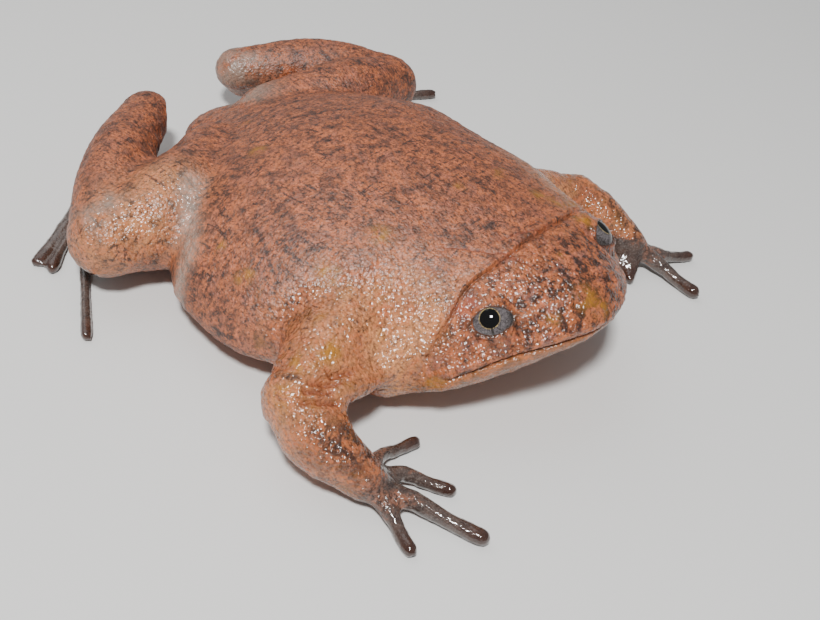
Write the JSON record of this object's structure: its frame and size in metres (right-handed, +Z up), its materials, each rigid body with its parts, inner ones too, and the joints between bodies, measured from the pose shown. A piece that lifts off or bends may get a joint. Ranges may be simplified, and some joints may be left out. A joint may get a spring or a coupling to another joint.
{
  "type": "bleating frog, life-size museum model",
  "caption": "Life-size still model of a broad, flat bleating frog squatting on its belly, head low, arms bent, fingers spread and hind legs folded.",
  "frame": {"origin": "centre of the box's underside, on the floor that the belly, hands and feet rest on", "axes": "+Z up; the head points to -Y; the frog's right side is towards -X"},
  "size_m": [0.0524, 0.054, 0.0136],
  "materials": {
    "frog_skin": "damp granular skin, dusty salmon to pinkish brown with fine dark specks, dark streaks and ochre stains",
    "dark_skin": "wet grey-brown skin of the hands and feet, glossy",
    "eye": "wet, very glossy eye with a black pupil, a thin gold ring and a silver-grey netted iris"
  },
  "bodies": {
    "root": {"head": "frog_skin", "lower_jaw": "frog_skin", "torso": "frog_skin", "upper_arm_right": "frog_skin", "forearm_right": "frog_skin", "hand_right": "dark_skin", "thigh_right": "frog_skin", "shank_right": "frog_skin", "foot_right": "dark_skin", "upper_arm_left": "frog_skin", "forearm_left": "frog_skin", "hand_left": "dark_skin", "thigh_left": "frog_skin", "shank_left": "frog_skin", "foot_left": "dark_skin", "eye_right": "eye", "eye_left": "eye"}
  },
  "joints": []
}
